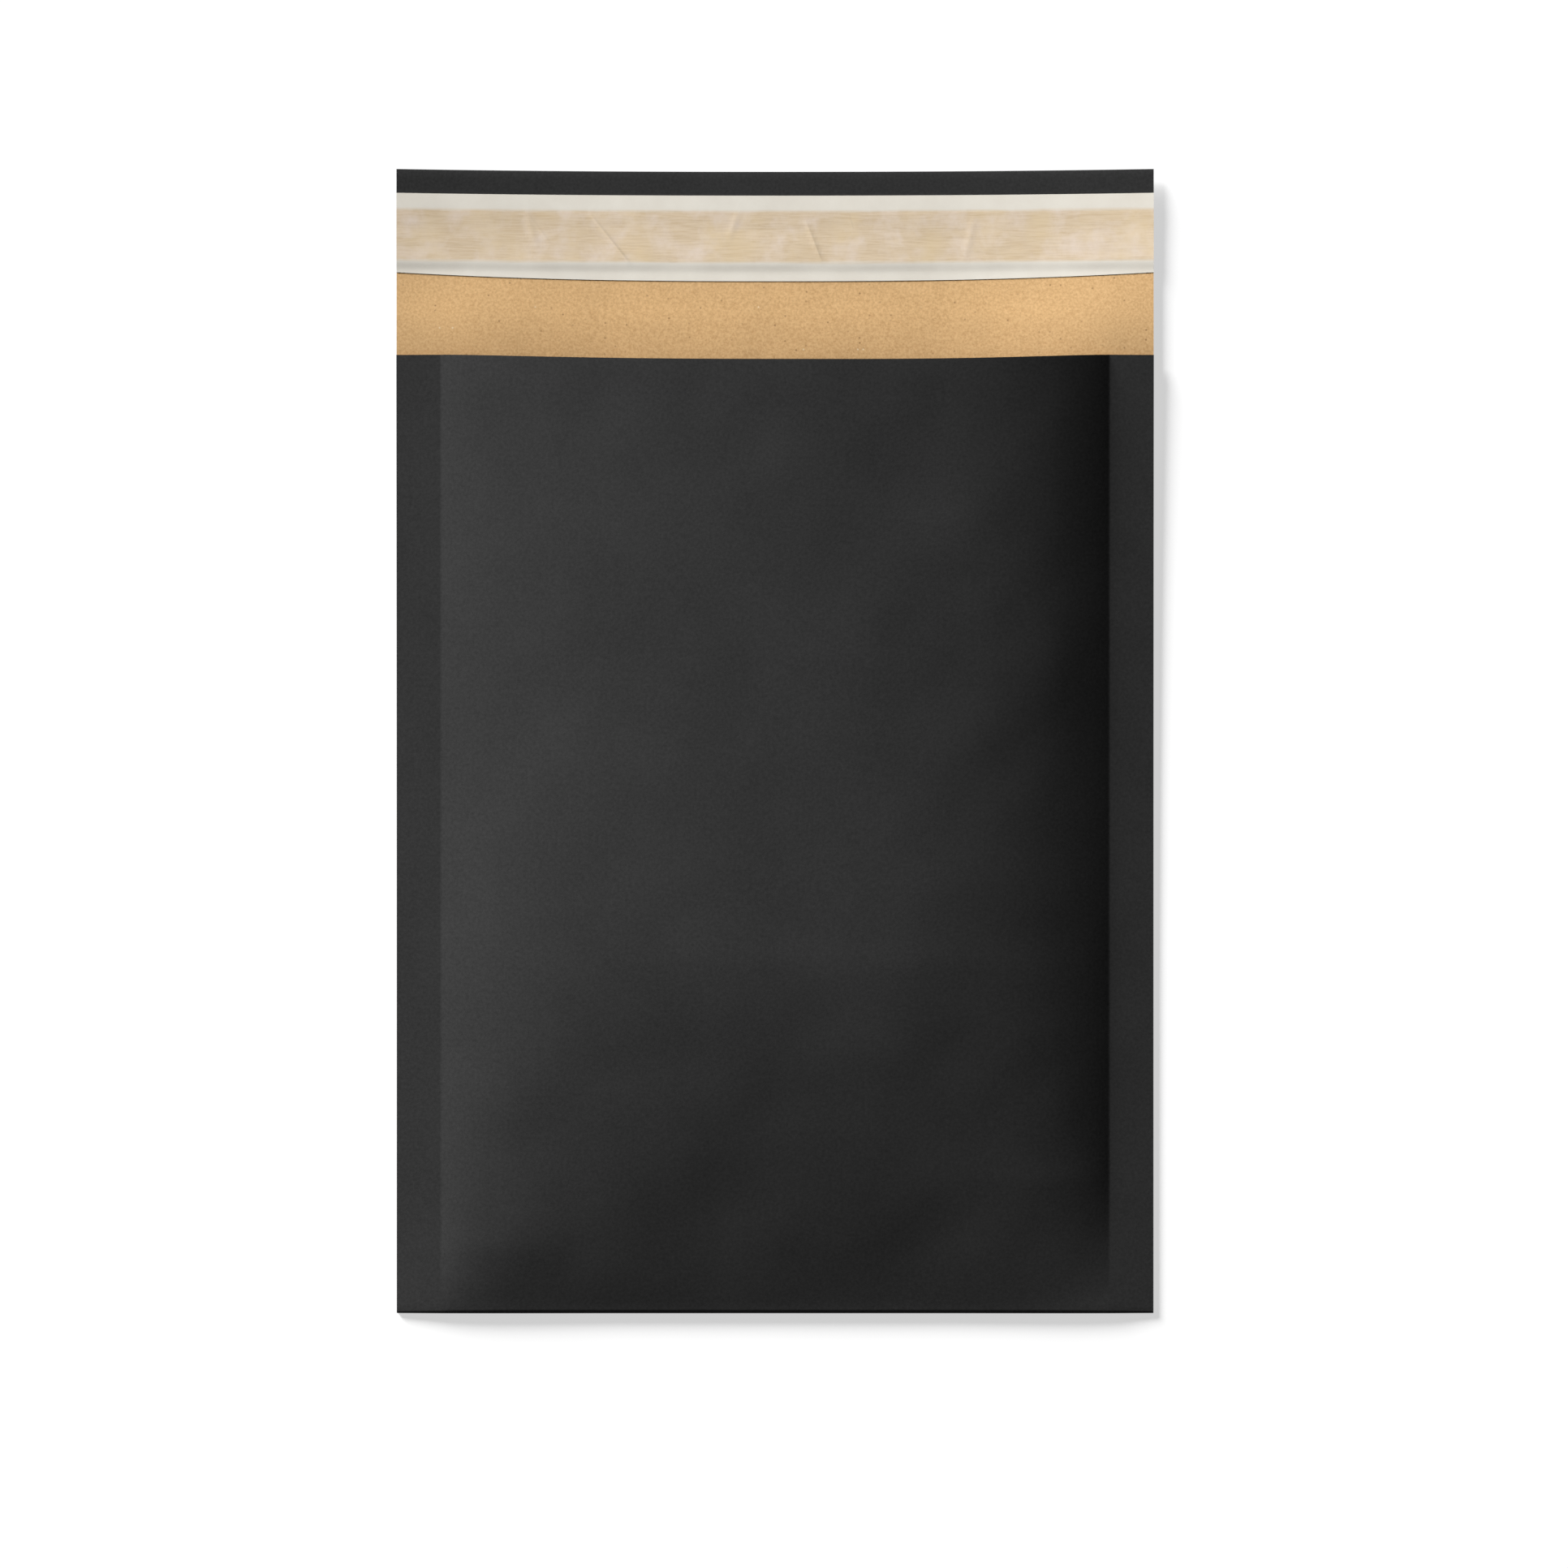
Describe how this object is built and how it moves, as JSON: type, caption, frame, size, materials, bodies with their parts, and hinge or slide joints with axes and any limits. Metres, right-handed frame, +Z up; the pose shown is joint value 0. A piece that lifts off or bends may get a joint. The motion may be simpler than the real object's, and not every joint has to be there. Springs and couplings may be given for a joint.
{
  "type": "padded envelope",
  "caption": "Flat padded mailing envelope in matte black kraft paper with a bubble lining, lying open on its back with the release liner still over the flap's adhesive strip.",
  "frame": {"origin": "middle of the envelope's length and width, on the surface that its back lies on", "axes": "+X across the envelope, +Y from the bottom fold to the flap's turned edge, +Z up out of the front panel"},
  "size_m": [0.17, 0.257, 0.014],
  "materials": {
    "black_kraft": "matte, laminated outside, brown kraft inside",
    "bubble_film": "translucent polyethylene bubble film",
    "adhesive": "tan hot-melt adhesive",
    "release_paper": "off-white siliconised release paper"
  },
  "bodies": {
    "root": {"outer_sheet": "black_kraft", "bubble_lining": "bubble_film", "adhesive_strip": "adhesive", "release_liner": "release_paper"}
  },
  "joints": []
}
